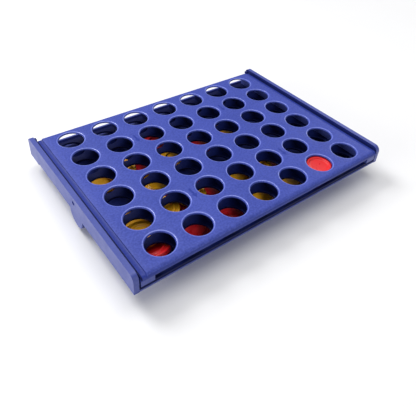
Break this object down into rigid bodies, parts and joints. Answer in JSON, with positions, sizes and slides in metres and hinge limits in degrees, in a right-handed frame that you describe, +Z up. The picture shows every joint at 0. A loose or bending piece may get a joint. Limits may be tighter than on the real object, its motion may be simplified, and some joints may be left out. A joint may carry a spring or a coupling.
{
  "type": "four in a row frame",
  "caption": "Folding four in a row game frame: a flat double grid with round windows, hinged at the back of a shallow storage tray that holds the red and yellow discs.",
  "frame": {"origin": "on the floor, under the middle of the folded frame", "axes": "+X along the columns' row, left to right; +Y from the front edge, which is the top of the board in play, to the hinge; +Z up"},
  "size_m": [0.276, 0.1978, 0.034],
  "materials": {
    "top_grid": "blue moulded plastic, satin, fine grain",
    "bottom_grid": "blue moulded plastic, satin",
    "channel_walls": "blue moulded plastic, satin",
    "pins": "plain drawn steel",
    "screws": "zinc plated steel",
    "tray": "blue moulded plastic, satin",
    "red_disc": "red moulded plastic",
    "yellow_disc": "yellow moulded plastic"
  },
  "bodies": {
    "tray": {"tray": "tray", "disc_red_1": "red_disc", "disc_red_2": "red_disc", "disc_red_3": "red_disc", "disc_red_4": "red_disc", "disc_red_5": "red_disc", "disc_red_6": "red_disc", "disc_red_7": "red_disc", "disc_red_8": "red_disc", "disc_red_9": "red_disc", "disc_yellow_1": "yellow_disc", "disc_yellow_2": "yellow_disc", "disc_yellow_3": "yellow_disc", "disc_yellow_4": "yellow_disc", "disc_yellow_5": "yellow_disc", "disc_yellow_6": "yellow_disc", "disc_yellow_7": "yellow_disc", "disc_yellow_8": "yellow_disc", "disc_yellow_9": "yellow_disc", "disc_yellow_10": "yellow_disc", "disc_yellow_11": "yellow_disc", "disc_yellow_12": "yellow_disc", "disc_yellow_13": "yellow_disc"},
    "board": {"top_grid": "top_grid", "bottom_grid": "bottom_grid", "column_divider_1": "channel_walls", "column_divider_2": "channel_walls", "column_divider_3": "channel_walls", "column_divider_4": "channel_walls", "column_divider_5": "channel_walls", "column_divider_6": "channel_walls", "end_spacer_left": "channel_walls", "end_spacer_right": "channel_walls", "hinge_pin_left": "pins", "hinge_pin_right": "pins", "grid_screw_1": "screws", "grid_screw_2": "screws", "grid_screw_3": "screws", "grid_screw_4": "screws", "grid_screw_5": "screws", "grid_screw_6": "screws"},
    "channel_disc": {"disc_in_channel": "red_disc"}
  },
  "joints": [
    {"name": "board_hinge", "type": "hinge", "parent": "tray", "child": "board", "pos_m": [0, 0.0859, 0.0236], "axis": [-1, 0, 0], "range_deg": [0, 90]},
    {"name": "channel_disc_slide", "type": "slide", "parent": "board", "child": "channel_disc", "axis": [0, 1, 0], "range_m": [0, 0.156]}
  ]
}
